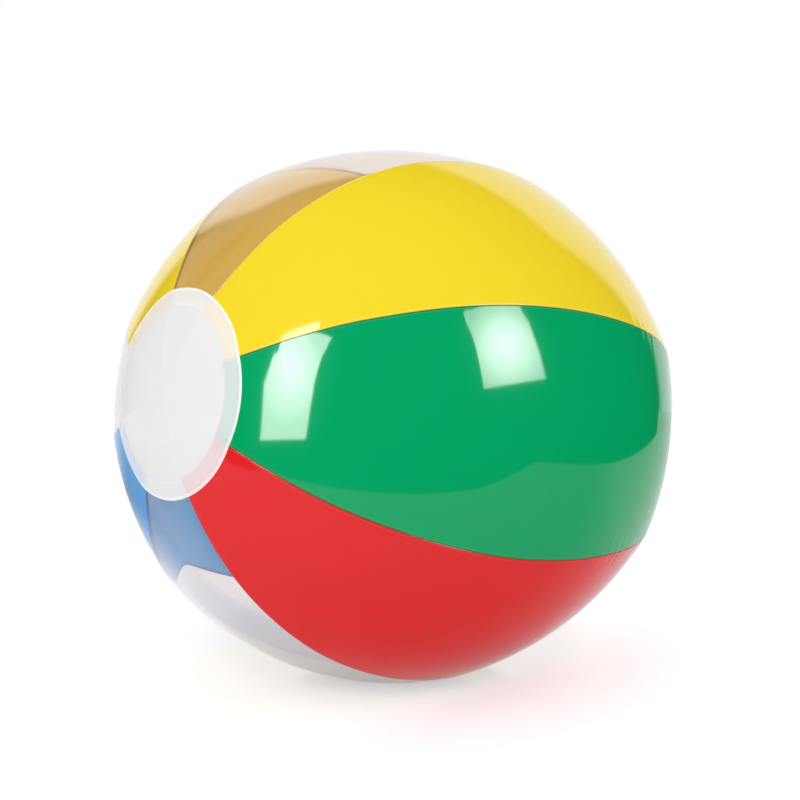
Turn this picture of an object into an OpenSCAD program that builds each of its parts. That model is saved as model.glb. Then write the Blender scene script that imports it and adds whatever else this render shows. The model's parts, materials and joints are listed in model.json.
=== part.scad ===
// Inflatable beach ball: eight welded film gores, an end disc over each pole,
// and a soft push-in air valve with its plug, strap and check flap.
// The ball stands on the floor with its poles lying almost level.

/* [Ball] */
// Radius at the widest ring, halfway between the two end discs
equator_radius = 195; // [150:1:240]
// Radius of the arc that a gore follows from one end disc to the other
meridian_radius = 206; // [160:1:260]
// Thickness of the vinyl film
film = 0.25; // [0.15:0.05:0.6]
// Depth of the weld fin that runs inside the ball along each seam
weld_fin = 4; // [2:0.5:8]
// Diameter of the round disc that closes each end
disc_diameter = 136; // [90:1:160]
// Width of the ring where an end disc is welded over the gore ends
disc_lap = 12; // [6:1:20]
// Radius of the end disc's crown over the pole
crown_radius = 230; // [210:5:400]

/* [Stance] */
// Lift of the front pole above level, in degrees
axis_lift = 9.1; // [0:0.1:30]
// Compass direction of the front pole, in degrees from +X
axis_heading = -138; // [-180:1:180]
// Roll of the gores about the pole axis, in degrees
roll = 21.6; // [0:0.1:45]
// Depth by which the floor presses the ball flat where it stands
press_depth = 2.2; // [1:0.1:5]

/* [Valve place] */
// Angle of the valve past the widest ring, towards the rear disc
valve_offset = 30; // [0:1:45]

/* [Valve flange and web] */
// Diameter of the flange that is welded inside the film
flange_diameter = 34; // [26:1:50]
// Thickness of the flange
flange_thickness = 0.8; // [0.5:0.1:1.5]
// Diameter of the hole that the valve moves in
valve_hole = 16; // [15:0.5:22]
// Thickness of the cone-shaped web that lets the stem push in
web_thickness = 0.6; // [0.3:0.1:1]

/* [Valve stem] */
// Outer diameter of the stem tube
stem_diameter = 9.5; // [8.5:0.1:10]
// Diameter of the air passage
bore_diameter = 6.4; // [5:0.1:7]
// Length of the tube below its collar
stem_length = 9.4; // [8:0.1:14]
// Diameter of the collar round the mouth
collar_diameter = 13.2; // [12:0.1:14]
// Thickness of the collar
collar_thickness = 1.2; // [0.8:0.1:2]
// Height of the collar's face above the film when the valve is pushed in
collar_rise = 0.6; // [0.2:0.1:1]
// Diameter of the foot at the inner end of the tube
foot_diameter = 11.6; // [10.5:0.1:12.5]
// Thickness of the foot
foot_thickness = 0.8; // [0.5:0.1:1.5]

/* [Valve plug and strap] */
// Diameter of the plug's head
head_diameter = 12.4; // [11:0.1:14]
// Thickness of the plug's head
head_thickness = 1.8; // [1.2:0.1:3]
// Length of the plug's shank
shank_length = 6.5; // [4:0.1:8]
// Length of the pull tab beyond the head
tab_length = 3; // [2:0.1:5]
// Width of the pull tab and of the strap
strap_width = 4; // [3:0.1:5]
// Thickness of the strap
strap_thickness = 0.6; // [0.4:0.1:0.8]
// Length of the strap's loop beyond the collar
strap_reach = 5; // [3:0.1:8]

/* [Check flap] */
// Diameter of the flap under the stem
flap_diameter = 8.8; // [8:0.1:10]
// Thickness of the flap
flap_thickness = 0.5; // [0.3:0.1:1]

/* [Fits] */
// Gap between parts that slide in each other
slide_clearance = 0.05; // [0.02:0.01:0.1]
// Gap between a flexing part and the piece that moves it
flex_clearance = 0.15; // [0.1:0.01:0.3]
// Depth of the weld line between the film and the flange inside it
weld_line = 0.05; // [0.02:0.01:0.1]

/* [Hidden] */

gore_count = 8;
gore_angle = 360 / gore_count;
// Facets of the large curves and of the small valve parts
ball_fn = 180;
small_fn = 64;
// A length longer than the ball, for cutting shapes
far = 3 * (equator_radius + meridian_radius);

// The arc of each gore is centred this far beyond the pole axis
arc_setback = meridian_radius - equator_radius;
disc_radius = disc_diameter / 2;
gore_end_radius = disc_radius - disc_lap;
// Height of the arc's end over the widest ring, and of the crown's centre below it
gore_end_height = sqrt(pow(meridian_radius, 2) - pow(gore_end_radius + arc_setback, 2));
crown_height = gore_end_height - sqrt(pow(crown_radius, 2) - pow(gore_end_radius, 2));
// Width over which the crown runs on into the welded ring
crown_join = 4 * film;
centre_height = meridian_radius - arc_setback * cos(axis_lift) - press_depth;

// The valve sits on the centre line of the rear clear gore
valve_gore = 6;
valve_turn = gore_turn(valve_gore) + gore_angle / 2;
valve_radius = meridian_radius * cos(valve_offset) - arc_setback;
valve_height = -meridian_radius * sin(valve_offset);

// Depth of the flange's outer face, and of the web's outer edge in its hole
flange_face = film + weld_line;
web_top = -flange_face - flange_thickness / 4;
stem_face = collar_rise;
tube_top = collar_rise - collar_thickness;
foot_top = tube_top - stem_length + foot_thickness;
foot_bottom = tube_top - stem_length;
shank_radius = bore_diameter / 2 - slide_clearance;
// Height of the strap's lower run above the film, and of its upper run
strap_low = collar_rise - strap_thickness;
strap_high = stem_face + head_thickness - strap_thickness;
strap_end = collar_diameter / 2 + strap_reach;

// Turn of a gore's first seam about the pole axis; gore 0 lies on top
function gore_turn(i) = roll + gore_angle * (3 - i);

// Puts a ball that is modelled with its pole axis along Z into its stance
module placed() {
    translate([0, 0, centre_height])
        rotate([0, 90 - axis_lift, axis_heading])
            children();
}

// Puts a valve part, modelled on the film with +Z outwards, into its place on the ball
module at_valve() {
    placed()
        rotate([0, 0, valve_turn])
            translate([valve_radius, 0, valve_height])
                rotate([0, 90 + valve_offset, 0])
                    children();
}

// All space above a height over the floor
module above_floor(height) {
    translate([-far / 2, -far / 2, height])
        cube(far);
}

// Cross-section of the ball within a skin of the given depth, from the pole axis outwards
module ball_section(depth) {
    intersection() {
        translate([-arc_setback, 0])
            circle(r = meridian_radius - depth, $fn = ball_fn);
        translate([0, -far / 2])
            square(far);
    }
}

// The space inside the film, pressed flat at the floor
module cavity() {
    intersection() {
        placed()
            rotate_extrude($fn = ball_fn)
                ball_section(film);
        above_floor(film);
    }
}

// One seam's weld fin, a flat strip on the side of the seam that the gore is on
module fin(turn, side) {
    rotate([0, 0, turn])
        translate([0, side > 0 ? film : 0, 0])
            rotate([90, 0, 0])
                linear_extrude(film)
                    intersection() {
                        difference() {
                            ball_section(film / 2);
                            ball_section(film + weld_fin);
                        }
                        translate([gore_end_radius, -far / 2])
                            square(far);
                    }
}

// One gore: a strip of film between two seams, with a weld fin along each
module gore(i) {
    difference() {
        intersection() {
            placed()
                rotate([0, 0, gore_turn(i)])
                    rotate_extrude(angle = gore_angle, $fn = ball_fn)
                        intersection() {
                            ball_section(0);
                            translate([gore_end_radius, -far / 2])
                                square(far);
                        }
            above_floor(0);
        }
        cavity();
        if (i == valve_gore)
            at_valve()
                cylinder(d = valve_hole, h = 4 * flange_thickness, center = true, $fn = small_fn);
    }
    intersection() {
        placed() {
            fin(gore_turn(i), 1);
            fin(gore_turn(i) + gore_angle, -1);
        }
        above_floor(film);
    }
}

module gore_clear_top() { color("gainsboro", 0.4) gore(0); }
module gore_yellow_front() { color("gold") gore(1); }
module gore_green() { color("mediumseagreen") gore(2); }
module gore_red() { color("crimson") gore(3); }
module gore_clear_base() { color("gainsboro", 0.4) gore(4); }
module gore_blue() { color("steelblue") gore(5); }
module gore_clear_back() { color("gainsboro", 0.4) gore(6); }
module gore_yellow_back() { color("gold") gore(7); }

// An end disc: a ring welded over the gore ends, and a flatter crown over the pole
module end_disc() {
    rotate_extrude($fn = ball_fn) {
        intersection() {
            difference() {
                ball_section(-film);
                ball_section(0);
            }
            translate([gore_end_radius, 0])
                square([disc_lap, far]);
        }
        intersection() {
            translate([0, crown_height])
                difference() {
                    circle(r = crown_radius + film, $fn = ball_fn);
                    circle(r = crown_radius, $fn = ball_fn);
                }
            square([gore_end_radius + crown_join, far]);
        }
    }
}

module end_disc_front() {
    color("whitesmoke")
        placed()
            end_disc();
}

module end_disc_rear() {
    color("whitesmoke")
        placed()
            mirror([0, 0, 1])
                end_disc();
}

// The flange follows the curve of the film that it is welded under
module valve_flange() {
    color("white")
        intersection() {
            placed()
                rotate_extrude($fn = ball_fn)
                    difference() {
                        ball_section(flange_face);
                        ball_section(flange_face + flange_thickness);
                    }
            at_valve()
                difference() {
                    cylinder(d = flange_diameter, h = flange_diameter, center = true, $fn = small_fn);
                    cylinder(d = valve_hole, h = 2 * flange_diameter, center = true, $fn = small_fn);
                }
        }
}

// The web is a thin cone that turns inside out when the stem is pulled
module valve_web() {
    inner = stem_diameter / 2 + flex_clearance;
    bottom = foot_top + flex_clearance;
    color("white")
        at_valve()
            rotate_extrude($fn = small_fn)
                polygon([
                    [valve_hole / 2, web_top],
                    [valve_hole / 2, web_top - web_thickness],
                    [inner + web_thickness, bottom],
                    [inner, bottom],
                    [inner, bottom + web_thickness]
                ]);
}

module valve_stem() {
    color("white")
        at_valve()
            difference() {
                union() {
                    translate([0, 0, tube_top])
                        cylinder(d = collar_diameter, h = collar_thickness, $fn = small_fn);
                    translate([0, 0, foot_bottom])
                        cylinder(d = stem_diameter, h = stem_length + collar_thickness / 2, $fn = small_fn);
                    translate([0, 0, foot_bottom])
                        cylinder(d = foot_diameter, h = foot_thickness, $fn = small_fn);
                }
                translate([0, 0, foot_bottom - foot_thickness])
                    cylinder(d = bore_diameter, h = 2 * stem_length, $fn = small_fn);
            }
}

// The strap loops from the collar's edge up to the edge of the plug's head
module valve_strap() {
    bend = (strap_high + strap_thickness - strap_low) / 2;
    color("white")
        at_valve()
            difference() {
                translate([0, strap_width / 2, strap_low])
                    rotate([90, 0, 0])
                        linear_extrude(strap_width)
                            difference() {
                                union() {
                                    square([strap_end - bend, 2 * bend]);
                                    translate([strap_end - bend, bend])
                                        circle(r = bend, $fn = small_fn);
                                }
                                translate([-bend, strap_thickness])
                                    square([strap_end, 2 * (bend - strap_thickness)]);
                                translate([strap_end - bend, bend])
                                    circle(r = bend - strap_thickness, $fn = small_fn);
                            }
                cylinder(d = collar_diameter, h = 2 * stem_face, center = true, $fn = small_fn);
                translate([0, 0, stem_face])
                    cylinder(d = head_diameter + 2 * flex_clearance, h = 2 * head_thickness, $fn = small_fn);
            }
}

module valve_plug() {
    tip = shank_radius / 4;
    color("white")
        at_valve() {
            translate([0, 0, stem_face])
                cylinder(d = head_diameter, h = head_thickness, $fn = small_fn);
            translate([-head_diameter / 2 - tab_length, -strap_width / 2, stem_face])
                cube([tab_length + head_diameter / 4, strap_width, head_thickness / 2]);
            translate([0, 0, stem_face - shank_length])
                rotate_extrude($fn = small_fn)
                    polygon([
                        [0, 0],
                        [shank_radius - tip, 0],
                        [shank_radius, tip],
                        [shank_radius, shank_length + head_thickness / 2],
                        [0, shank_length + head_thickness / 2]
                    ]);
        }
}

module check_flap() {
    color("white")
        at_valve()
            translate([0, 0, foot_bottom - flap_thickness])
                cylinder(d = flap_diameter, h = flap_thickness, $fn = small_fn);
}

gore_clear_top();
gore_yellow_front();
gore_green();
gore_red();
gore_clear_base();
gore_blue();
gore_clear_back();
gore_yellow_back();
end_disc_front();
end_disc_rear();
valve_flange();
valve_web();
valve_stem();
valve_strap();
valve_plug();
check_flap();
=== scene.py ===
# %% [markdown]
# # An inflated beach ball
# A beach ball starts flat. Eight long strips of vinyl film, called gores, are welded edge to
# edge with the weld turned inside, and a disc of film closes each end where the strips meet.
# Air then pulls the film round. It stays a little flatter between two seams than at them,
# puckers beside the welds and lies flat where it stands. The construction comes from a fixed
# frame of simple solids. Each gore and disc is modelled again here as the film it is, and the
# small air valve at the back gets the rounded edges of a soft moulding.

# %% Load the frame
import json
import math

import bmesh
import bpy
import numpy as np
from mathutils import Matrix, Vector


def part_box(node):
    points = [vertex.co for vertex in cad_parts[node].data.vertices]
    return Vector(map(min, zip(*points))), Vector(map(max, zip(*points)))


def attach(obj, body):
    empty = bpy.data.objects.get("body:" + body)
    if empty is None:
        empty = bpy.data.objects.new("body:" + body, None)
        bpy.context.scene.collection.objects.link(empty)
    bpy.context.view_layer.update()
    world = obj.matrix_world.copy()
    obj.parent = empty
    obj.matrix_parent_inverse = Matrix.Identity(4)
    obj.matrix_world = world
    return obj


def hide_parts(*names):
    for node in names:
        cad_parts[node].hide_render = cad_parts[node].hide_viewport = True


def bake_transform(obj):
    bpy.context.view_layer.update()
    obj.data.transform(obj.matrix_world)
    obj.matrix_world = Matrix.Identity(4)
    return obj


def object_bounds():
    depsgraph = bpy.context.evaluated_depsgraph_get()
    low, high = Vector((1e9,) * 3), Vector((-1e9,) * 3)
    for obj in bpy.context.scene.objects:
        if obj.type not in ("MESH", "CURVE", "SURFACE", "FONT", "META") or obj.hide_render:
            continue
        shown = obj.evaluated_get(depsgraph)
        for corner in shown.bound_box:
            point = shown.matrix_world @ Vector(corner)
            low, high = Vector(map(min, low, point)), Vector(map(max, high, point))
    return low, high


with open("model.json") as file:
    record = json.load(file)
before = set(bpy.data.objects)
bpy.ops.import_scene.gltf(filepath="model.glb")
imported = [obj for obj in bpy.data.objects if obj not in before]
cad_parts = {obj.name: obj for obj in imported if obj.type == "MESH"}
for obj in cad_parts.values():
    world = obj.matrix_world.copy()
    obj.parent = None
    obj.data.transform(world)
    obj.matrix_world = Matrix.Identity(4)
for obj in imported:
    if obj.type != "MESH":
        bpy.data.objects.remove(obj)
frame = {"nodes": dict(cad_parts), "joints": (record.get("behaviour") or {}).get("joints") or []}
cad_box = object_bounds()
MM = 0.001

# %% [markdown]
# ## The ball's own axes
# The film is easiest to describe in the ball's own directions, as on a globe. One pole lies
# under each end disc, so the middles of the two discs give the axis and the centre. A point is
# then named by its tip angle, counted from the front pole, and its turn about the axis. Turn 0
# is the underside, turn 90 faces the viewer and turn 180 is the top.

# %% Find the centre and the axes
def middle(node):
    low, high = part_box(node)
    return (Vector(low) + Vector(high)) / 2


front_middle = middle("end_disc_front")
rear_middle = middle("end_disc_rear")
CENTRE = (front_middle + rear_middle) / 2
AXIS = (front_middle - rear_middle).normalized()
SIDE = AXIS.cross(Vector((0, 0, -1))).normalized()
UNDER = SIDE.cross(AXIS)
RADIUS = sum(cad_box[1] - cad_box[0]) / 6
print("centre", tuple(round(c, 4) for c in CENTRE), "mean radius", round(RADIUS, 4))
print("front pole points", tuple(round(a, 3) for a in AXIS))

# %% [markdown]
# ## Where the seams run
# Eight seams would be 45 degrees apart on a perfect ball. On a real one they wander, because
# film stretches as it is welded and blown up. Each seam has a few small drifts, in degrees,
# at stations from the front shoulder to the rear one, and eases from each to the next. The
# seam between the blue gore and the one on the floor bends most.

# %% Seams as smooth curves
GORES = [
    ("gore_red", "film_red"),
    ("gore_green", "film_green"),
    ("gore_yellow_front", "film_yellow"),
    ("gore_clear_top", "film_clear"),
    ("gore_yellow_back", "film_yellow"),
    ("gore_clear_back", "film_clear"),
    ("gore_blue", "film_blue"),
    ("gore_clear_base", "film_clear"),
]
GORE_ANGLE = 360 / len(GORES)
FIRST_SEAM = 21.6
STATIONS = (20, 42, 66, 115, 160)
SEAM_DRIFT = [
    (1.2, 0.5, 0.0, -0.3, 0),
    (0.0, -0.9, -0.9, 0.8, 0),
    (2.5, 3.5, 3.8, 3.1, 0),
    (-0.5, 0.9, 1.6, 1.0, 0),
    (-6.0, -3.0, -1.5, -1.0, 0),
    (0.0, 0.0, 0.0, 0.0, 0),
    (2.0, -2.0, -7.0, -5.0, 0),
    (4.2, 1.8, -19.0, -14.0, 0),
]


def ease(share):
    """0 to 1 with a soft start and a soft end."""
    share = np.clip(share, 0, 1)
    return share * share * (3 - 2 * share)


def seam_turn(seam, tip):
    """The turn of a seam, in degrees, at each tip angle."""
    turn = np.full(np.shape(tip), FIRST_SEAM + GORE_ANGLE * seam)
    drifts = SEAM_DRIFT[seam % len(GORES)]
    for start, end, before, after in zip(STATIONS, STATIONS[1:], drifts, drifts[1:]):
        turn = turn + (after - before) * ease((tip - start) / (end - start))
    return turn + drifts[0]


print("red meets green at turn", np.round(seam_turn(1, np.array(STATIONS)), 1))

# %% [markdown]
# ## The shape that air gives the film
# A welded seam is stiffer than the film beside it, so the seams stand out as soft ridges and
# each gore is nearly 3 mm flatter in its middle. The ball is longer from pole to pole than
# across, and a little fuller at its rear. Under its own weight the bottom sinks until the
# floor presses it flat. A very shallow unevenness keeps reflections from being too perfect.
# All of this is one function from turn and tip angle to a point, so every piece of film that
# is made later fits the next one.

# %% One function for the skin
SEAM_RIDGE = 0.0153
BASE_RIDGE = 0.003
FLOOR_SOFTNESS = 0.8 * MM
WAVE_HEIGHT = 0.04 * MM
WAVES = ((5, 9, 0), (11, -6, 1), (0, 13, 2))
MEAN_SIZE, FULLER_REAR, LONGER, FLATTER_SHOULDERS = 1.017, 0.0137, 0.0249, 0.0076
UNDERSIDE, UNDERSIDE_SLOPE = 0.0051, 0.0105
NEAR_SIDE, NEAR_SIDE_SLOPE = 0.0107, 0.0141
SAG, SAG_FOCUS = 0.0104, 16


def flatness(gore):
    """How much flatter a gore is between its seams. The one that the ball stands on is blown full."""
    return BASE_RIDGE if GORES[gore % len(GORES)][0] == "gore_clear_base" else SEAM_RIDGE


def unevenness(about, down):
    """The shallow waves of tight film, about 80 mm long. about and down are a point's two angles."""
    waves = sum(np.sin(rounds * about + rows * down + shift) for rounds, rows, shift in WAVES)
    return WAVE_HEIGHT * waves * np.sin(down) ** 2


def on_skin(turn, tip, across, ridge, lift):
    """World points on the film. across runs from -1 to 1 between two seams, and lift is outwards."""
    about, down = np.radians(turn), np.radians(tip)
    lift = lift + unevenness(about, down)
    out = np.sin(down)
    size = MEAN_SIZE - FULLER_REAR * np.cos(down) + LONGER * np.cos(2 * down)
    size -= FLATTER_SHOULDERS * np.cos(4 * down)
    size += out * (UNDERSIDE_SLOPE * np.cos(down) - UNDERSIDE) * np.cos(about)
    size -= out * (NEAR_SIDE_SLOPE * np.cos(down) + NEAR_SIDE) * np.sin(about)
    size -= ridge * (1 - across**2) * out
    heading = np.outer(out * np.cos(about), UNDER) + np.outer(out * np.sin(about), SIDE)
    heading += np.outer(np.cos(down), AXIS)
    size += SAG * np.clip(-heading[:, 2], 0, 1) ** SAG_FOCUS
    points = np.array(CENTRE) + heading * (RADIUS * size + lift)[:, None]
    low = points[:, 2]
    points[:, 2] = (low + np.sqrt(low**2 + FLOOR_SOFTNESS**2)) / 2
    return points


around = np.arange(0, 360, 10.0)
half_way = np.full(around.size, 90.0)
belt = on_skin(around, half_way, np.ones(around.size), SEAM_RIDGE, np.zeros(around.size))
belt_radius = float(np.linalg.norm(belt - np.array(CENTRE), axis=1).mean())
print("mean radius half way between the poles:", round(belt_radius, 4))

# %% [markdown]
# ## The film near the valve
# The valve is made of fixed parts, so the film has to come to it. Within 20 mm of the valve
# the film takes the curve that the valve's flange was made for, and by 65 mm it is back to
# the ball's own shape. The valve's joints give its place and its directions.

# %% Settle the film on the valve
joints = {joint["name"]: joint for joint in frame["joints"]}
VALVE_PLACE = Vector(joints["stem_pull"]["pos_m"])
VALVE_OUT = Vector(joints["stem_pull"]["axis"])
VALVE_WIDE = Vector(joints["flap_open"]["axis"])
VALVE_LONG = VALVE_WIDE.cross(VALVE_OUT)
VALVE = Matrix.Translation(VALVE_PLACE) @ Matrix((VALVE_LONG, VALVE_WIDE, VALVE_OUT)).transposed().to_4x4()
FLANGE_CURVE = 200 * MM
SEAT_REACH, SEAT_FADE = 20 * MM, 45 * MM


def settle_on_valve(points):
    """Moves film near the valve onto the flange's curve."""
    apart = points - np.array(VALVE_PLACE)
    height = apart @ np.array(VALVE_OUT)
    reach = np.linalg.norm(apart - np.outer(height, VALVE_OUT), axis=1)
    pull = 1 - ease((reach - SEAT_REACH) / SEAT_FADE)
    pull *= np.linalg.norm(apart, axis=1) < RADIUS
    wanted = -(reach**2) / (2 * FLANGE_CURVE)
    return points + np.outer((wanted - height) * pull, VALVE_OUT)


print("valve at", tuple(round(c, 3) for c in VALVE_PLACE))

# %% [markdown]
# ## Mesh helpers
# Every piece is made the same way. A bmesh is shaped flat with bmesh operators, a function
# moves its points into place, and one helper turns it into an object whose origin stays at
# the world's. Edges that turn by more than 40 degrees are marked sharp, so the cut edge of
# a film stays crisp while its face shades smoothly.

# %% Helpers for meshes
SHARP_DEGREES = 40
SHARP = math.radians(SHARP_DEGREES)


def make_object(name, bm):
    """An object from a bmesh, shaded smooth, with its sharp edges marked."""
    for face in bm.faces:
        face.smooth = True
    for edge in bm.edges:
        edge.smooth = edge.calc_face_angle(0) < SHARP
    mesh = bpy.data.meshes.new(name)
    bm.to_mesh(mesh)
    bm.free()
    made = bpy.data.objects.new(name, mesh)
    bpy.context.scene.collection.objects.link(made)
    return made


def apply_modifiers(made):
    """Writes the modifiers' result into the mesh."""
    graph = bpy.context.evaluated_depsgraph_get()
    mesh = bpy.data.meshes.new_from_object(made.evaluated_get(graph), depsgraph=graph)
    made.modifiers.clear()
    made.data = mesh


def merge_and_face_out(bm):
    """Closes seams and poles, then turns the faces outwards."""
    bmesh.ops.remove_doubles(bm, verts=bm.verts, dist=1e-6)
    bmesh.ops.recalc_face_normals(bm, faces=bm.faces)


def place(made, body, slot, *nodes):
    """Attaches a piece to its body and hides the frame parts it stands for; slot is not used. A blended
    piece has no body.
    """
    if body:
        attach(made, body)
    if nodes:
        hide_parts(*nodes)


print("edges that turn by more than", SHARP_DEGREES, "degrees stay sharp")

# %% [markdown]
# ## A gore
# A gore is a flat strip of film, so it starts as a flat grid. Across the strip, the middle
# columns are the skin and crowd together towards the seams. The next ones round the film
# over by half a millimetre, and the last ones are the weld fin, which points into the ball
# and meets the next gore's fin face to face. Beside the welds the film puckers, most on the
# rear half, where the weld is a little shorter than the film beside it.

# %% Measures of the film and its welds
FILM = 0.25 * MM
FIN = 2 * MM
WELD_ROUND = 0.45 * MM
WELD_GAP = 0.02 * MM
DISC_RADIUS = 68 * MM
DISC_LAP = 12 * MM
POLE_REACH = 1.02 * RADIUS
GORE_END = math.degrees(math.asin((DISC_RADIUS - DISC_LAP) / POLE_REACH))
DISC_EDGE = math.degrees(math.asin(DISC_RADIUS / POLE_REACH))
SKIN_SHARE, ROUND_SHARE = 0.74, 0.12
CROWDING = 1.6
COLUMNS, ROWS = 76, 300
INNER_FACE = 1
PUCKER_STEP, FINE_STEP, SWELL_STEP = 9.3 * MM, 5.9 * MM, 53 * MM
PUCKER_REACH = 3.5 * MM
FRONT_PUCKER, MORE_AT_REAR = 0.02 * MM, 0.13 * MM


def pucker(away, tip):
    """Depth of the puckers beside a seam, from the distance to it and the tip angle."""
    along = np.radians(tip) * RADIUS
    ripple = np.sin(along * 2 * np.pi / PUCKER_STEP) + 0.7 * np.sin(along * 2 * np.pi / FINE_STEP + 1)
    ripple *= 0.6 + 0.4 * np.sin(along * 2 * np.pi / SWELL_STEP + 2)
    slack = FRONT_PUCKER + MORE_AT_REAR * ease((tip - 85) / 35)
    slack *= ease((90 - np.abs(tip - 90) - DISC_EDGE) / 8)
    reach = away / PUCKER_REACH
    return slack * ripple * reach * np.exp(1 - reach)


print("a gore ends", round(GORE_END, 1), "degrees from the pole")


# %% Bend a flat grid into a gore
def gore_points(gore, x, y):
    """Where the points of a flat grid, from -1 to 1 each way, go on the ball."""
    tip = 90 + y * (90 - GORE_END)
    first, last = seam_turn(gore, tip), seam_turn(gore + 1, tip)
    half_turn = (last - first) / 2
    half_width = np.radians(half_turn) * RADIUS * np.sin(np.radians(tip))
    out = np.abs(x)
    skin = np.clip(out / SKIN_SHARE, 0, 1)
    bend = np.clip((out - SKIN_SHARE) / ROUND_SHARE, 0, 1) * np.pi / 2
    fin = np.clip((out - SKIN_SHARE - ROUND_SHARE) / (1 - SKIN_SHARE - ROUND_SHARE), 0, 1)
    away = WELD_ROUND + (half_width - WELD_ROUND) * (1 - skin) ** CROWDING
    away += WELD_GAP - WELD_ROUND * np.sin(bend)
    depth = WELD_ROUND * (1 - np.cos(bend)) + fin * (FIN - WELD_ROUND)
    across = np.sign(x) * (1 - away / half_width)
    turn = (first + last) / 2 + across * half_turn
    lift = pucker(away, tip) * (bend == 0) - depth
    return on_skin(turn, tip, across, flatness(gore), lift), away


def make_gore(gore):
    """One welded strip of film, as thick as the real one."""
    node, slot = GORES[gore]
    bm = bmesh.new()
    bm.loops.layers.uv.new("film")
    bmesh.ops.create_grid(bm, x_segments=COLUMNS, y_segments=ROWS, size=1, calc_uvs=True)
    flat = np.array([vert.co for vert in bm.verts])
    points, away = gore_points(gore, flat[:, 0], flat[:, 1])
    seam = bm.verts.layers.float.new("seam_mm")
    for vert, point, gap in zip(bm.verts, settle_on_valve(points), away / MM):
        vert.co = point
        vert[seam] = gap
    bm.normal_update()
    outwards = sum(face.normal.dot(face.calc_center_median() - CENTRE) for face in bm.faces)
    if outwards < 0:
        bmesh.ops.reverse_faces(bm, faces=bm.faces)
    made = make_object(node.replace("gore", "film"), bm)
    wall = made.modifiers.new("film thickness", "SOLIDIFY")
    wall.thickness, wall.offset = FILM, -1
    made.data.materials.append(None)
    made.data.materials.append(None)
    wall.material_offset = INNER_FACE
    apply_modifiers(made)
    place(made, "ball", slot, node)
    return made


films = [make_gore(gore) for gore in range(len(GORES))]
for film in films:
    print(film.name, len(film.data.polygons), "faces")

# %% [markdown]
# ## The hole for the valve
# The valve moves in a 16 mm hole in the clear gore at the back. A boolean cut with a short
# cylinder is the plain way to punch a round hole through film.

# %% Punch the valve's hole
VALVE_HOLE = 16 * MM


def punch_hole(film):
    """Cuts the valve's hole through a gore."""
    bm = bmesh.new()
    bmesh.ops.create_cone(
        bm, cap_ends=True, segments=96, radius1=VALVE_HOLE / 2, radius2=VALVE_HOLE / 2,
        depth=VALVE_HOLE, matrix=VALVE,
    )
    punch = make_object("punch", bm)
    cut = film.modifiers.new("valve hole", "BOOLEAN")
    cut.operation, cut.solver, cut.object = "DIFFERENCE", "EXACT", punch
    apply_modifiers(film)
    bpy.data.objects.remove(punch)


back_film = next(film for film in films if film.name == "film_clear_back")
punch_hole(back_film)
print("hole cut:", len(back_film.data.polygons), "faces")

# %% [markdown]
# ## The end discs
# A white disc of film is welded over the ends of the gores. The weld squeezes a fine bead
# along its edge. The disc's cross-section is drawn flat and spun once round, and each of its
# points then goes to its place on the ball, so the disc lies on the gores and their seams.

# %% Draw, spin and place an end disc
DEGREE = math.radians(1) * RADIUS
CROWN_FLAT = 1.2 * MM
BEAD = ((1.6, 0), (1.1, 0.14), (0.6, 0.16), (0.15, 0))
RINGS, DISC_STEPS = 44, 240


def across_at(turn, tip):
    """Which gore each point lies on, and how far across it."""
    gore, across = np.zeros(len(turn), int), np.zeros(len(turn))
    for number in range(len(GORES)):
        first, last = seam_turn(number, tip), seam_turn(number + 1, tip)
        share = ((turn - first) % 360) / (last - first)
        gore[share < 1] = number
        across[share < 1] = 2 * share[share < 1] - 1
    return gore, across


def make_disc(name, node, rear):
    """An end disc with its weld bead. rear puts it over the far pole."""
    bm = bmesh.new()
    top = WELD_GAP + FILM
    bead = [(DISC_EDGE - inwards * MM / DEGREE, top + rise * MM) for inwards, rise in BEAD]
    outline = [(0, top), *bead, (DISC_EDGE, WELD_GAP), (0, WELD_GAP)]
    verts = [bm.verts.new((tip / 100, 0, lift)) for tip, lift in outline]
    edges = [bm.edges.new(pair) for pair in zip(verts, verts[1:])]
    bmesh.ops.subdivide_edges(bm, edges=[edges[0], edges[-1]], cuts=RINGS)
    bmesh.ops.spin(
        bm, geom=bm.verts[:] + bm.edges[:], cent=(0, 0, 0), axis=(0, 0, 1), angle=2 * math.pi,
        steps=DISC_STEPS, use_merge=True,
    )
    merge_and_face_out(bm)
    flat = np.array([vert.co for vert in bm.verts])
    tip = np.hypot(flat[:, 0], flat[:, 1]) * 100
    turn = np.degrees(np.arctan2(flat[:, 1], flat[:, 0]))
    lift = flat[:, 2] - CROWN_FLAT * (1 - ease(tip / GORE_END))
    tip = 180 - tip if rear else tip
    gore, across = across_at(turn, tip)
    ridge = np.array([flatness(number) for number in gore])
    rim = bm.verts.layers.float.new("rim_mm")
    inwards = (DISC_EDGE - 90 + np.abs(tip - 90)) * DEGREE / MM
    for vert, point, gap in zip(bm.verts, on_skin(turn, tip, across, ridge, lift), inwards):
        vert.co = point
        vert[rim] = gap
    bmesh.ops.recalc_face_normals(bm, faces=bm.faces)
    made = make_object(name, bm)
    place(made, "ball", "film_white", node)
    return made


discs = [make_disc("disc_front", "end_disc_front", False), make_disc("disc_rear", "end_disc_rear", True)]
print("disc edge at", round(DISC_EDGE, 1), "degrees;", len(discs[0].data.polygons), "faces each")

# %% [markdown]
# ## The air valve
# The valve is one soft moulding: a tube with a collar that hangs in a thin cone-shaped web,
# a plug on a strap, and a flap that closes the tube from inside. Round parts are drawn as
# half a cross-section and spun, and a narrow bevel gives each edge the roundness that soft
# vinyl has when it leaves the mould.

# %% Lathe and round
STEPS = 72


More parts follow.
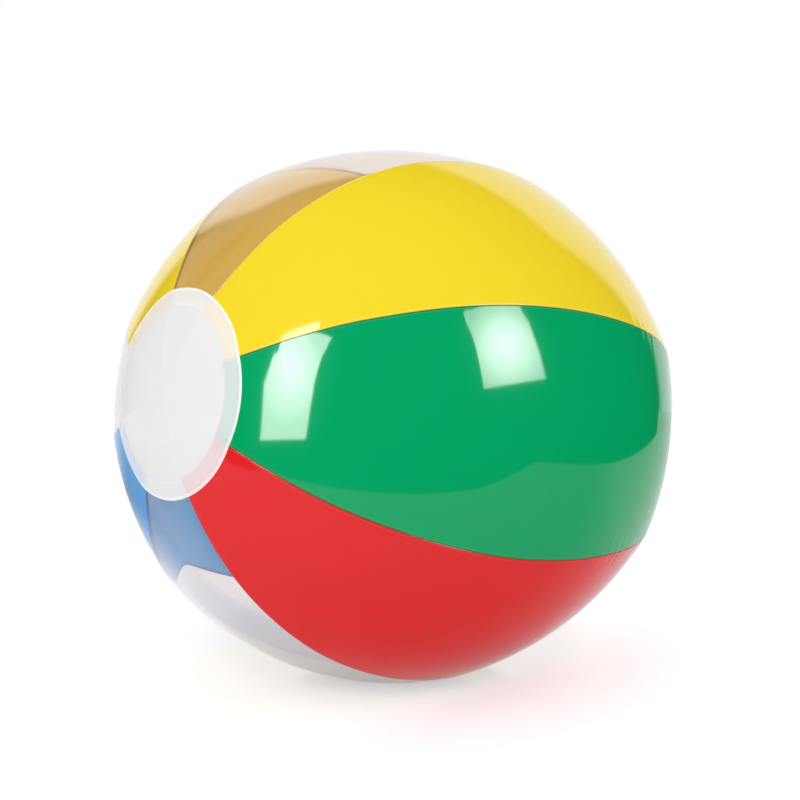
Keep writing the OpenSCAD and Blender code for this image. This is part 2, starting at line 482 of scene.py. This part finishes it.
def lathe(profile):
    """A closed bmesh from half a cross-section, given as radius and height in millimetres."""
    bm = bmesh.new()
    verts = [bm.verts.new((radius * MM, 0, height * MM)) for radius, height in profile]
    for pair in zip(verts, verts[1:] + verts[:1]):
        bm.edges.new(pair)
    bmesh.ops.spin(
        bm, geom=bm.verts[:] + bm.edges[:], cent=(0, 0, 0), axis=(0, 0, 1), angle=2 * math.pi,
        steps=STEPS, use_merge=True,
    )
    merge_and_face_out(bm)
    return bm


def round_edges(bm, width):
    """Rounds every edge that turns sharply."""
    sharp = [edge for edge in bm.edges if edge.calc_face_angle(0) > SHARP]
    bmesh.ops.bevel(
        bm, geom=sharp, offset=width, segments=3, profile=0.5, affect="EDGES", material=-1,
        clamp_overlap=True,
    )


def to_valve(bm):
    """Moves a part that is modelled at the origin into its place on the ball."""
    bmesh.ops.transform(bm, matrix=VALVE, verts=bm.verts)


print("round parts are spun in", STEPS, "steps")

# %% The stem, the web and the plug
RISE = 0.6
TUBE_TOP = -0.6
FOOT_BOTTOM = TUBE_TOP - 9.4
FOOT_THICK = 0.8
BORE, TUBE, COLLAR, FOOT = 3.2, 4.75, 6.6, 5.8
STEM_ROUND, PLUG_ROUND, TAB_ROUND, TAB_CORNER = 0.2 * MM, 0.25 * MM, 0.15 * MM, 1.4 * MM
WEB_RIM, WEB_WALL, WEB_CUTS = 7.98, 0.6, 8
TAB_SIZE, TAB_OUT = (4.6, 4.0, 0.9), -6.9


def make_stem():
    """The tube with its collar and foot, and a fine lip round the mouth."""
    bm = lathe([
        (BORE, FOOT_BOTTOM), (FOOT, FOOT_BOTTOM), (FOOT, FOOT_BOTTOM + FOOT_THICK),
        (TUBE, FOOT_BOTTOM + FOOT_THICK), (TUBE, TUBE_TOP), (COLLAR, TUBE_TOP), (COLLAR, RISE),
        (BORE, RISE),
    ])
    round_edges(bm, STEM_ROUND)
    to_valve(bm)
    made = make_object("stem_tube", bm)
    place(made, "stem", "valve_vinyl", "valve_stem")
    return made


def make_web():
    """The thin cone between the flange and the stem's foot, which turns inside out."""
    top, bottom = -0.5, FOOT_BOTTOM + 1
    bm = lathe([
        (WEB_RIM, top), (WEB_RIM, top - WEB_WALL), (5.5, bottom), (4.9, bottom), (4.9, bottom + WEB_WALL),
    ])
    slopes = [edge for edge in bm.edges if abs(edge.verts[0].co.z - edge.verts[1].co.z) > MM]
    bmesh.ops.subdivide_edges(bm, edges=slopes, cuts=WEB_CUTS, use_grid_fill=True)
    to_valve(bm)
    made = make_object("web_cone", bm)
    place(made, None, "valve_vinyl", "valve_web")
    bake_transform(made)
    return made


def make_plug():
    """The plug: a domed head with a grip ring, a tapered shank and a pull tab."""
    bm = lathe([
        (0, RISE - 6.5), (2.4, RISE - 6.5), (3.15, RISE - 5.6), (3.15, RISE), (6.2, RISE),
        (6.2, RISE + 1.5), (5.0, RISE + 1.8), (4.2, RISE + 1.55), (0, RISE + 1.7),
    ])
    round_edges(bm, PLUG_ROUND)
    tab = bmesh.new()
    bmesh.ops.create_cube(tab, size=1)
    bmesh.ops.scale(tab, vec=Vector(TAB_SIZE) * MM, verts=tab.verts)
    bmesh.ops.translate(tab, vec=Vector((TAB_OUT, 0, RISE + TAB_SIZE[2] / 2)) * MM, verts=tab.verts)
    upright = [edge for edge in tab.edges if abs(edge.verts[0].co.z - edge.verts[1].co.z) > 0.5 * MM]
    outer = [edge for edge in upright if edge.verts[0].co.x < -8 * MM]
    bmesh.ops.bevel(
        tab, geom=outer, offset=TAB_CORNER, segments=6, profile=0.5, affect="EDGES", material=-1,
    )
    round_edges(tab, TAB_ROUND)
    joined = bpy.data.meshes.new("tab")
    tab.to_mesh(joined)
    tab.free()
    bm.from_mesh(joined)
    to_valve(bm)
    made = make_object("plug_stopper", bm)
    place(made, "plug", "valve_vinyl", "valve_plug")
    return made


make_stem()
make_web()
make_plug()
print("valve tube", 2 * TUBE, "mm wide, bore", 2 * BORE, "mm")


# %% The strap that keeps the plug
def make_strap():
    """A flat band that leaves the collar, turns back in a loop and joins the plug's head."""
    bm = bmesh.new()
    thick, wide, low, high, reach, start_at = 0.6, 4.0, RISE - 0.6, RISE + 1.2, 11.6, 6.5
    bend = (high + thick - low) / 2
    corners = [(start_at, low), (start_at, low + thick)]
    ring = [bm.verts.new((x * MM, y * MM, z * MM)) for x, z in corners for y in (-wide / 2, wide / 2)]
    face = bm.faces.new((ring[0], ring[1], ring[3], ring[2]))

    def push(faces, amount):
        made = bmesh.ops.extrude_face_region(bm, geom=faces)["geom"]
        verts = [item for item in made if isinstance(item, bmesh.types.BMVert)]
        bmesh.ops.translate(bm, vec=Vector((amount * MM, 0, 0)), verts=verts)
        return [item for item in made if isinstance(item, bmesh.types.BMFace)]

    tip = push([face], reach - bend - start_at)
    turned = bmesh.ops.spin(
        bm, geom=tip, cent=(Vector((reach - bend, 0, low + bend)) * MM), axis=(0, -1, 0),
        angle=math.pi, steps=14, use_merge=False,
    )["geom_last"]
    last = [item for item in turned if isinstance(item, bmesh.types.BMFace)]
    push(last, -(reach - bend - start_at + 0.15))
    merge_and_face_out(bm)
    long_ones = [edge for edge in bm.edges if edge.calc_length() > 2 * MM]
    lengthwise = [edge for edge in long_ones if abs(edge.verts[0].co.y - edge.verts[1].co.y) < MM]
    bmesh.ops.subdivide_edges(bm, edges=lengthwise, cuts=4, use_grid_fill=True)
    to_valve(bm)
    made = make_object("strap_loop", bm)
    place(made, None, "valve_vinyl", "valve_strap")
    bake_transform(made)
    return made


strap = make_strap()
print("strap", len(strap.data.polygons), "faces")

# %% [markdown]
# ## Materials
# One function turns a written colour into linear light, and one small function adds a node
# with its settings and links. Where a finish changes along a distance, such as away from a
# weld, its level is a start and a few soft changes. Everything else is the finishes themselves.

# %% Colour and node helpers
def linear(written):
    """A colour such as #F5DC2E as linear RGBA."""
    parts = [int(written[i : i + 2], 16) / 255 for i in (1, 3, 5)]
    return [p / 12.92 if p <= 0.04045 else ((p + 0.055) / 1.055) ** 2.4 for p in parts] + [1]


def add(tree, kind, inputs=None, **settings):
    """Adds a node, with its settings by name and its inputs as values or links."""
    made = tree.nodes.new(kind)
    for name, value in settings.items():
        setattr(made, name, value)
    for name, value in (inputs or {}).items():
        if isinstance(value, bpy.types.NodeSocket):
            tree.links.new(value, made.inputs[name])
        else:
            made.inputs[name].default_value = value
    return made


def new_material(name):
    """An empty material: its tree and a function that sets its surface."""
    made = bpy.data.materials.new(name)
    made.use_nodes = True
    tree = made.node_tree
    tree.nodes.clear()
    end = tree.nodes.new("ShaderNodeOutputMaterial")
    return made, tree, lambda shader: tree.links.new(shader, end.inputs["Surface"])


def level_along(tree, value, first, *changes):
    """A level that starts at first and changes, as (from, to, by how much) says, along a value."""
    level = first
    for start, end, change in changes:
        part = add(
            tree, "ShaderNodeMapRange",
            {"Value": value, "From Min": start, "From Max": end, "To Max": change},
        )
        level = add(
            tree, "ShaderNodeMath", {0: part.outputs["Result"], 1: level}, operation="ADD"
        ).outputs[0]
    return level


print("a mid grey is", round(linear("#808080")[0], 3), "in linear light")


# %% [markdown]
# ## Coloured vinyl film
# Plasticised PVC, rolled out thin between polished steel rolls and coloured right through.
# The rolls leave it as glossy as wet paint, with a roughness near 0.05 and an IOR of 1.53:
# it mirrors four parts in a hundred when seen straight on, and nearly everything at a grazing
# angle, by Schlick's rule. Light also passes through it, deeper in colour than its face, so
# the far side of the ball glows when it is seen through clear film. A weld shows as a fine
# dark line where two films meet, faint on yellow, with slightly paler film beside it where
# the weld squeezed it.

# %% What all films share
FILM_IOR = 1.53
MIRRORED_AHEAD = ((FILM_IOR - 1) / (FILM_IOR + 1)) ** 2
SCHLICK_POWER = 5
HALO_SHARE, HALO_ROUGHNESS = 0.07, 0.16
ROLL_GRAIN, GRAIN_DEPTH, GRAIN_STRENGTH = 6 * MM, 0.02 * MM, 0.02
SMEAR_SIZE, SMEAR_ROUGHNESS = 45 * MM, 0.03
WHITE = (1, 1, 1, 1)


def film_gloss(tree, body, grazing=1.0, least_rough=0.04):
    """A mirror over the film's body, with a fine roll texture and faint smears."""
    where = add(tree, "ShaderNodeTexCoord").outputs["Object"]
    grain = add(tree, "ShaderNodeTexNoise", {"Vector": where, "Scale": 1 / ROLL_GRAIN, "Detail": 2})
    bump = add(
        tree, "ShaderNodeBump",
        {"Height": grain.outputs["Fac"], "Strength": GRAIN_STRENGTH, "Distance": GRAIN_DEPTH},
    )
    smear = add(tree, "ShaderNodeTexNoise", {"Vector": where, "Scale": 1 / SMEAR_SIZE, "Detail": 4})
    rough = add(
        tree, "ShaderNodeMapRange",
        {"Value": smear.outputs["Fac"], "From Min": 0.3, "From Max": 0.7,
         "To Min": least_rough, "To Max": least_rough + SMEAR_ROUGHNESS},
    )
    facing = add(tree, "ShaderNodeLayerWeight", {"Blend": 0.5}).outputs["Facing"]
    steep = add(tree, "ShaderNodeMath", {0: facing, 1: SCHLICK_POWER}, operation="POWER")
    share = add(
        tree, "ShaderNodeMapRange",
        {"Value": steep.outputs[0], "To Min": MIRRORED_AHEAD, "To Max": grazing},
    )
    sharp = add(
        tree, "ShaderNodeBsdfGlossy",
        {"Color": WHITE, "Roughness": rough.outputs["Result"], "Normal": bump.outputs["Normal"]},
    )
    soft = add(tree, "ShaderNodeBsdfGlossy", {"Color": WHITE, "Roughness": HALO_ROUGHNESS})
    mirror = add(tree, "ShaderNodeMixShader", {0: HALO_SHARE, 1: sharp.outputs[0], 2: soft.outputs[0]})
    return add(
        tree, "ShaderNodeMixShader", {0: share.outputs["Result"], 1: body, 2: mirror.outputs[0]}
    ).outputs[0]


print("mirrored when seen straight on:", round(MIRRORED_AHEAD, 3))


# %% Coloured film
SHARE_THROUGH = 0.5
CLOUD_SIZE, CLOUD_SHADE = 120 * MM, 0.94
BODY_ROUGHNESS = 0.5
WELD_UP_TO, WELD_GONE = 0.9, 1.3
PALE_SHARE, PALE_UP_TO, PALE_GONE = 0.05, 1.5, 2.0


def coloured_film(name, face, deep, weld=0.7):
    """Rolled vinyl film, coloured through: deep with light behind it, and weld darker where welded."""
    made, tree, finish_with = new_material(name)
    where = add(tree, "ShaderNodeTexCoord").outputs["Object"]
    cloud = add(tree, "ShaderNodeTexNoise", {"Vector": where, "Scale": 1 / CLOUD_SIZE, "Detail": 1})
    darker = [CLOUD_SHADE * part for part in linear(face)[:3]] + [1]
    colour = add(
        tree, "ShaderNodeMix", {"Factor": cloud.outputs["Fac"], 6: linear(face), 7: darker},
        data_type="RGBA",
    )
    seam = add(tree, "ShaderNodeAttribute", attribute_name="seam_mm").outputs["Fac"]
    pale = level_along(tree, seam, PALE_SHARE, (PALE_UP_TO, PALE_GONE, -PALE_SHARE))
    paler = add(
        tree, "ShaderNodeMix", {"Factor": pale, 6: colour.outputs[2], 7: WHITE}, data_type="RGBA"
    )
    squeezed = level_along(tree, seam, weld, (WELD_UP_TO, WELD_GONE, -weld))
    dark = [part * part for part in linear(face)[:3]] + [1]
    skin = add(
        tree, "ShaderNodeMix", {"Factor": squeezed, 6: paler.outputs[2], 7: dark}, data_type="RGBA"
    )
    lit = add(
        tree, "ShaderNodeBsdfPrincipled",
        {
            "Base Color": skin.outputs[2], "Roughness": BODY_ROUGHNESS, "IOR": FILM_IOR,
            "Specular IOR Level": 0,
        },
    )
    through = add(tree, "ShaderNodeBsdfTranslucent", {"Color": linear(deep)})
    body = add(
        tree, "ShaderNodeMixShader", {0: SHARE_THROUGH, 1: lit.outputs[0], 2: through.outputs[0]}
    )
    finish_with(film_gloss(tree, body.outputs[0]))
    return made


film_finish = {
    "film_yellow": coloured_film("rolled_vinyl_yellow", "#F3EB34", "#FFC019", weld=0.1),
    "film_green": coloured_film("rolled_vinyl_green", "#00B371", "#008648"),
    "film_red": coloured_film("rolled_vinyl_red", "#E5232A", "#DC2828"),
    "film_blue": coloured_film("rolled_vinyl_blue", "#3AA6F3", "#6EB6FA"),
}
print("coloured films:", sorted(film_finish))

# %% [markdown]
# ## Clear and printed film
# The same vinyl without pigment is clear, with a faint haze and a trace of lavender. Each of
# its two faces mirrors on its own. A coloured gore gets a colourless inner face, so that light
# loses its colour to the pigment only once. That face is duller, because the film is dusted so
# that it doesn't stick to itself while it is folded. The end discs are printed white, which
# covers nearly everything behind and is less glossy than bare film. Along their edge, heat
# has pressed them into the gores, whose colours show through that ring, up to the white bead.
# Inside the ring the print is more solid and a little greyer.

# %% Clear film and printed film
DULLER = {"grazing": 0.3, "least_rough": 0.2}
PRINT_GLOSS = {"grazing": 0.4, "least_rough": 0.2}
BEAD_HAZE = 0.95
RING_CHANGES = ((0, 2.4, -0.34), (10.8, 13.2, 0.23))
RING_TO_CORE = (11, 13, 1)
PRINT_CORE = "#E9EBEC"


def hazy_film(name, tint, colour, haze, glow, printed=False, gloss=None):
    """Film that shows what is behind it.

    haze is how solid a face is, and glow is how much light comes through that part."""
    made, tree, finish_with = new_material(name)
    paint = linear(colour)
    if printed:
        rim = add(tree, "ShaderNodeAttribute", attribute_name="rim_mm").outputs["Fac"]
        haze = level_along(tree, rim, haze, *RING_CHANGES)
        inwards = level_along(tree, rim, 0, RING_TO_CORE)
        paint = add(
            tree, "ShaderNodeMix", {"Factor": inwards, 6: paint, 7: linear(PRINT_CORE)},
            data_type="RGBA",
        ).outputs[2]
    lit = add(
        tree, "ShaderNodeBsdfPrincipled",
        {
            "Base Color": paint, "Roughness": BODY_ROUGHNESS, "IOR": FILM_IOR,
            "Specular IOR Level": 0,
        },
    )
    through = add(tree, "ShaderNodeBsdfTranslucent", {"Color": paint})
    solid = add(tree, "ShaderNodeMixShader", {0: glow, 1: lit.outputs[0], 2: through.outputs[0]})
    clear = add(tree, "ShaderNodeBsdfTransparent", {"Color": linear(tint)})
    body = add(tree, "ShaderNodeMixShader", {0: haze, 1: clear.outputs[0], 2: solid.outputs[0]})
    finish_with(film_gloss(tree, body.outputs[0], **(gloss or {})))
    return made


film_inside = hazy_film("rolled_vinyl_inner_face", "#FFFFFF", "#EDE8EC", 0.0, 0.5, gloss=DULLER)
film_finish["film_clear"] = hazy_film("rolled_vinyl_clear", "#FBF9F9", "#EDE8EA", 0.03, 0.5)
film_finish["film_white"] = hazy_film(
    "printed_vinyl_white", "#FFFFFF", "#F3F5F6", BEAD_HAZE, 0.4, printed=True, gloss=PRINT_GLOSS
)
for film, (node, slot) in zip(films, GORES):
    film.data.materials[0] = film_finish[slot]
    film.data.materials[INNER_FACE] = film_finish[slot] if slot == "film_clear" else film_inside
for disc in discs:
    disc.data.materials.append(film_finish["film_white"])
print("films finished:", len(films) + len(discs))

# %% [markdown]
# ## Moulded vinyl
# The valve is injection moulded from soft PVC that is only slightly tinted. It is waxy and
# lets light in, which the subsurface setting gives over half a millimetre.

# %% Moulded vinyl
MOULD_GRAIN, MOULD_DEPTH = 0.8 * MM, 0.05 * MM
LIGHT_REACH = 0.5 * MM


def moulded_vinyl():
    """Soft milky vinyl from a mould."""
    made, tree, finish_with = new_material("moulded_vinyl_milky")
    where = add(tree, "ShaderNodeTexCoord").outputs["Object"]
    grain = add(tree, "ShaderNodeTexNoise", {"Vector": where, "Scale": 1 / MOULD_GRAIN, "Detail": 3})
    bump = add(
        tree, "ShaderNodeBump",
        {"Height": grain.outputs["Fac"], "Strength": 0.1, "Distance": MOULD_DEPTH},
    )
    gloss = add(
        tree, "ShaderNodeBsdfPrincipled",
        {
            "Base Color": linear("#CFD4D2"), "Roughness": 0.28, "IOR": FILM_IOR,
            "Subsurface Weight": 0.3, "Subsurface Scale": LIGHT_REACH, "Normal": bump.outputs["Normal"],
        },
    )
    finish_with(gloss.outputs[0])
    return made


vinyl = moulded_vinyl()
for piece in ("stem_tube", "web_cone", "plug_stopper", "strap_loop"):
    bpy.data.objects[piece].data.materials.append(vinyl)
for node in ("valve_flange", "check_flap"):
    mesh = frame["nodes"][node].data
    mesh.materials.clear()
    mesh.materials.append(vinyl)
print("valve finished")

# %% [markdown]
# ## The studio
# A glossy ball shows the room it stands in, so the room matters as much as the film. It
# stands on a white table in front of a white sheet. Two tall soft boxes light it from the
# left and the right. The film mirrors two glowing panels, and lamps of the same size and
# place give the light itself at a plain level. The rest of the room adds even light, but the
# film mirrors it as almost black. The sheet lights matt surfaces more than its own white
# shows, because light has to come through the film from behind. To the camera the table's
# far end and the sheet melt into plain white.
# What the film mirrors of the table is a painted shade of grey: plain in front of the ball, and behind it
# darker towards the left and further back. In the film the table also has a painted glow under the ball and
# at the far left. The table is polished where the ball stands, so a soft image of the ball lies under it.

# %% Stage pieces and rays
WHITE_SEEN = 1.0


def stage_sheet(name, corners, material):
    """A flat sheet through the given corners. It is not part of the object."""
    bm = bmesh.new()
    bmesh.ops.create_circle(bm, cap_ends=True, segments=len(corners), radius=1)
    bm.verts.ensure_lookup_table()
    for vert, corner in zip(bm.verts, corners):
        vert.co = corner
    made = make_object(name, bm)
    made.data.materials.append(material)
    return made


def ray_kinds(tree):
    """1 for rays from the camera, also through clear film, and 1 for rays from a glossy surface."""
    path = add(tree, "ShaderNodeLightPath")
    seen = add(
        tree, "ShaderNodeMath", {0: path.outputs["Is Camera Ray"], 1: path.outputs["Is Transmission Ray"]},
        operation="MAXIMUM",
    )
    return seen.outputs[0], path.outputs["Is Glossy Ray"]


print("white is seen at strength", WHITE_SEEN)

# %% The table
TABLE_PAINT = 0.88
TABLE_SEEN, TABLE_LIFT = 0.52, 0.5
# Painted shade of the table as the film mirrors it: its grey in front of the ball, at the left, towards the
# right and far back.
MIRRORED_IN_FRONT, MIRRORED_LEFT = 0.42, 0.3
MORE_TO_THE_RIGHT = (-0.42, -0.22, 0.26)
LESS_FAR_BACK = (0.2, 1.3, -0.4)
BEHIND = (-0.12, 0.02, 1)
# Painted glow of the table in the film: across it under the ball, and at the far left end and far back.
PAINTED_GLOW_ACROSS = ((-0.47, -0.25, 0.6), (-0.1, 0.1, -0.3))
LEFT_END, FAR_END = (-0.5, -0.2, -1), (0.45, 0.95, 0.7)
STANDING_SPOT = (CENTRE.x, CENTRE.y + 0.1, 0)
POLISH, POLISH_ROUGHNESS = 0.4, 0.1
POLISHED_UP_TO, PLAIN_FROM = 0.12, 0.17
TABLE_CORNERS = [
    (-2.6, -0.36), (-0.65, -0.41), (-0.5, -0.44), (-0.88, -1.08), (-0.3, -0.83), (0.4, -0.54),
    (0.9, -0.57), (0.9, 0), (1.2, 0.8), (2.1, 1.62), (-2.6, 1.62),
]


def painted_reflection_shade(tree, across, back, behind):
    """Painted shade of the table in the film: a plain grey in front of the ball, and behind it darker to
    the left and further back.
    """
    to_the_left = level_along(tree, across, MIRRORED_LEFT, MORE_TO_THE_RIGHT)
    fading = level_along(tree, back, 1, LESS_FAR_BACK)
    far = add(tree, "ShaderNodeMath", {0: to_the_left, 1: fading}, operation="MULTIPLY").outputs[0]
    level = add(tree, "ShaderNodeMix", {"Factor": behind, "A": MIRRORED_IN_FRONT, "B": far})
    return add(
        tree, "ShaderNodeMath", {0: level.outputs["Result"], 1: TABLE_PAINT}, operation="MULTIPLY"
    ).outputs[0]


def painted_reflection_glow(tree, across, back):
    """Painted glow of the table in the film, above its paint, under the ball and at the far left."""
    under = level_along(tree, across, 0, *PAINTED_GLOW_ACROSS)
    left = level_along(tree, across, 1, LEFT_END)
    far_end = level_along(tree, back, 0, FAR_END)
    far_left = add(tree, "ShaderNodeMath", {0: left, 1: far_end}, operation="MULTIPLY").outputs[0]
    return add(tree, "ShaderNodeMath", {0: under, 1: far_left}, operation="MAXIMUM").outputs[0]


def table_white():
    """Polished white laminate. Close to where the ball stands it shows the ball's image and shadow. In the
    film its look is painted shade and a painted glow.
    """
    made, tree, finish_with = new_material("white_laminate")
    seen, mirrored = ray_kinds(tree)
    where = add(tree, "ShaderNodeTexCoord").outputs["Object"]
    spot = add(tree, "ShaderNodeSeparateXYZ", {0: where}).outputs
    behind = level_along(tree, spot["Y"], 0, BEHIND)
    # The table's grey in the film is painted shade.
    painted_film_shade = painted_reflection_shade(tree, spot["X"], spot["Y"], behind)
    paint = add(tree, "ShaderNodeMix", {"Factor": seen, "A": TABLE_PAINT, "B": TABLE_SEEN})
    grey = add(tree, "ShaderNodeMix", {"Factor": mirrored, "A": paint.outputs["Result"], "B": painted_film_shade})
    top = add(tree, "ShaderNodeBsdfDiffuse", {"Color": grey.outputs["Result"]}).outputs[0]
    # In the film, behind the ball's front, the table gets a painted glow.
    in_gloss = add(tree, "ShaderNodeMath", {0: mirrored, 1: behind}, operation="MULTIPLY").outputs[0]
    brighter = painted_reflection_glow(tree, spot["X"], spot["Y"])
    lift = add(tree, "ShaderNodeMath", {0: in_gloss, 1: brighter}, operation="MULTIPLY").outputs[0]
    strength = add(tree, "ShaderNodeMix", {"Factor": seen, "A": lift, "B": TABLE_LIFT})
    glow = add(tree, "ShaderNodeEmission", {"Strength": strength.outputs["Result"]}).outputs[0]
    surface = add(tree, "ShaderNodeAddShader", {0: top, 1: glow}).outputs[0]
    image = add(tree, "ShaderNodeBsdfGlossy", {"Roughness": POLISH_ROUGHNESS}).outputs[0]
    apart = add(tree, "ShaderNodeVectorMath", {0: where, 1: STANDING_SPOT}, operation="DISTANCE")
    near = add(
        tree, "ShaderNodeMapRange",
        {"Value": apart.outputs["Value"], "From Min": POLISHED_UP_TO, "From Max": PLAIN_FROM,
         "To Min": POLISH, "To Max": 0},
        interpolation_type="SMOOTHSTEP",
    ).outputs["Result"]
    share = add(tree, "ShaderNodeMath", {0: near, 1: seen}, operation="MULTIPLY").outputs[0]
    finish_with(add(tree, "ShaderNodeMixShader", {0: share, 1: surface, 2: image}).outputs[0])
    return made


table = stage_sheet("table", [(x, y, 0) for x, y in TABLE_CORNERS], table_white())
print("table with", len(TABLE_CORNERS), "corners")

# %% The sheet
SHEET_LIGHT = 4.2
SHEET_LEFT, SHEET_RIGHT, SHEET_BACK, SHEET_LOW, SHEET_TOP = -1.65, 2.15, 1.6, -0.01, 2.5
SHEET_FADES = (("X", -1.6, -1.2), ("X", 2.14, 1.7), ("Z", 2.45, 2.0))


def sheet_white():
    """A lit paper sheet. It is plain white to the camera, and its light falls off towards its edges."""
    made, tree, finish_with = new_material("white_sheet")
    where = add(tree, "ShaderNodeTexCoord").outputs["Object"]
    spot = add(tree, "ShaderNodeSeparateXYZ", {0: where}).outputs
    path = add(tree, "ShaderNodeLightPath")
    level = add(
        tree, "ShaderNodeMapRange",
        {"Value": path.outputs["Is Diffuse Ray"], "To Min": WHITE_SEEN, "To Max": SHEET_LIGHT},
    ).outputs["Result"]
    for axis, dark, lit in SHEET_FADES:
        fade = add(
            tree, "ShaderNodeMapRange",
            {"Value": spot[axis], "From Min": dark, "From Max": lit},
            interpolation_type="SMOOTHSTEP",
        ).outputs["Result"]
        level = add(tree, "ShaderNodeMath", {0: fade, 1: level}, operation="MULTIPLY").outputs[0]
    seen, _ = ray_kinds(tree)
    strength = add(tree, "ShaderNodeMath", {0: level, 1: seen}, operation="MAXIMUM")
    finish_with(add(tree, "ShaderNodeEmission", {"Strength": strength.outputs[0]}).outputs[0])
    return made


sheet_corners = [
    (x, SHEET_BACK, z)
    for x, z in (
        (SHEET_LEFT, SHEET_LOW), (SHEET_RIGHT, SHEET_LOW), (SHEET_RIGHT, SHEET_TOP), (SHEET_LEFT, SHEET_TOP)
    )
]
sheet = stage_sheet("white_sheet", sheet_corners, sheet_white())
print("sheet", SHEET_RIGHT - SHEET_LEFT, "m wide")


# %% Soft boxes
def panel_glow(name, hot, reach, core, edge):
    """A soft box's cloth front: brightest at its hot spot, fading away from it."""
    made, tree, finish_with = new_material(name)
    where = add(tree, "ShaderNodeTexCoord").outputs["Object"]
    apart = add(tree, "ShaderNodeVectorMath", {0: where, 1: hot}, operation="DISTANCE")
    level = add(
        tree, "ShaderNodeMapRange",
        {"Value": apart.outputs["Value"], "From Max": reach, "To Min": core, "To Max": edge},
        interpolation_type="SMOOTHSTEP",
    )
    glow = add(tree, "ShaderNodeEmission", {"Strength": level.outputs["Result"]})
    finish_with(glow.outputs[0])
    return made


def soft_box(name, heading, outline, watts, hot, reach, core, edge):
    """A glowing panel that only reflections see, and a lamp of its size that only lights.

    The outline and the hot spot are given along the panel and upwards, in metres. core is the
    cloth's brightness at the hot spot and edge its brightness from reach onwards."""
    turn = math.radians(heading)
    out = Vector((math.sin(turn), -math.cos(turn), 0)) * BOX_AWAY
    side = Vector((math.cos(turn), math.sin(turn), 0))
    corners = [out + side * along + Vector((0, 0, rise)) for along, rise in outline]
    hot_spot = out + side * hot[0] + Vector((0, 0, hot[1]))
    panel = stage_sheet(name + "_panel", corners, panel_glow(name + "_cloth", hot_spot, reach, core, edge))
    for kind in ("visible_camera", "visible_diffuse", "visible_transmission", "visible_shadow"):
        setattr(panel, kind, False)
    lows = [min(corner[i] for corner in outline) for i in (0, 1)]
    highs = [max(corner[i] for corner in outline) for i in (0, 1)]
    lamp = bpy.data.lights.new(name + "_lamp", "AREA")
    lamp.shape, lamp.energy = "RECTANGLE", watts
    lamp.size, lamp.size_y = highs[0] - lows[0], highs[1] - lows[1]
    made = bpy.data.objects.new(name + "_lamp", lamp)
    bpy.context.scene.collection.objects.link(made)
    spot = out + side * (lows[0] + highs[0]) / 2 + Vector((0, 0, (lows[1] + highs[1]) / 2))
    facing = (spot - CENTRE).to_track_quat("Z", "Y").to_matrix().to_4x4()
    made.matrix_world = Matrix.Translation(spot) @ facing
    made.visible_camera = made.visible_glossy = False
    return made


BOX_AWAY = 1.6
LEFT_OUTLINE = [
    (-0.125, 0.21), (0.38, 0.2), (0.4, 0.43), (0.43, 0.68), (0.49, 0.89), (0.62, 1.15), (0.2, 1.1),
    (0.12, 1.9), (-0.3, 1.5), (-0.02, 0.92), (-0.11, 0.71), (-0.165, 0.57),
]
RIGHT_OUTLINE = [(-0.55, 0.55), (0.15, 0.53), (0.16, 1.4), (-0.58, 1.45)]
soft_box("left_box", -41, LEFT_OUTLINE, 19, (0.13, 0.74), 0.5, 19.5, 11)
soft_box("right_box", 60, RIGHT_OUTLINE, 9.5, (-0.2, 0.92), 0.6, 19, 6.5)
print("two soft boxes")

# %% The room
ROOM_LIGHT, ROOM_MIRRORED = 1.1, 0.015
world = bpy.data.worlds.new("room")
bpy.context.scene.world = world
world.use_nodes = True
room = world.node_tree
room.nodes.clear()
seen, mirrored = ray_kinds(room)
lit = add(
    room, "ShaderNodeMapRange", {"Value": mirrored, "To Min": ROOM_LIGHT, "To Max": ROOM_MIRRORED}
)
strength = add(room, "ShaderNodeMix", {"Factor": seen, "A": lit.outputs["Result"], "B": WHITE_SEEN})
air = add(room, "ShaderNodeBackground", {"Strength": strength.outputs["Result"]})
add(room, "ShaderNodeOutputWorld", {"Surface": air.outputs[0]})
print("room light", ROOM_LIGHT)

# %% [markdown]
# ## The camera
# A moderately long lens looks from a little above the ball's middle, as when one stands
# before a table. It is shifted a little, so that the ball sits left of and below the middle.

# %% Camera
EQUATOR = 195 * MM
CAMERA_AWAY = 4.7 * EQUATOR
CAMERA_RISE = math.radians(7)
SENSOR, LENS = 36, 55.89
SHIFT_ACROSS, SHIFT_UP = 0.00625, 0.0201
view = bpy.data.cameras.new("camera")
view.sensor_width, view.lens = SENSOR, LENS
view.shift_x, view.shift_y = SHIFT_ACROSS, SHIFT_UP
camera = bpy.data.objects.new("camera", view)
bpy.context.scene.collection.objects.link(camera)
back = Vector((0, -math.cos(CAMERA_RISE), math.sin(CAMERA_RISE)))
camera.location = CENTRE + back * CAMERA_AWAY
camera.rotation_mode = "QUATERNION"
camera.rotation_quaternion = back.to_track_quat("Z", "Y")
bpy.context.scene.camera = camera
bpy.context.scene.view_settings.view_transform = "Standard"
print("camera", tuple(round(c, 3) for c in camera.location))

# %% [markdown]
# ## The end
# The last line brings the scene up to date.

# %% Finish
bpy.context.view_layer.update()
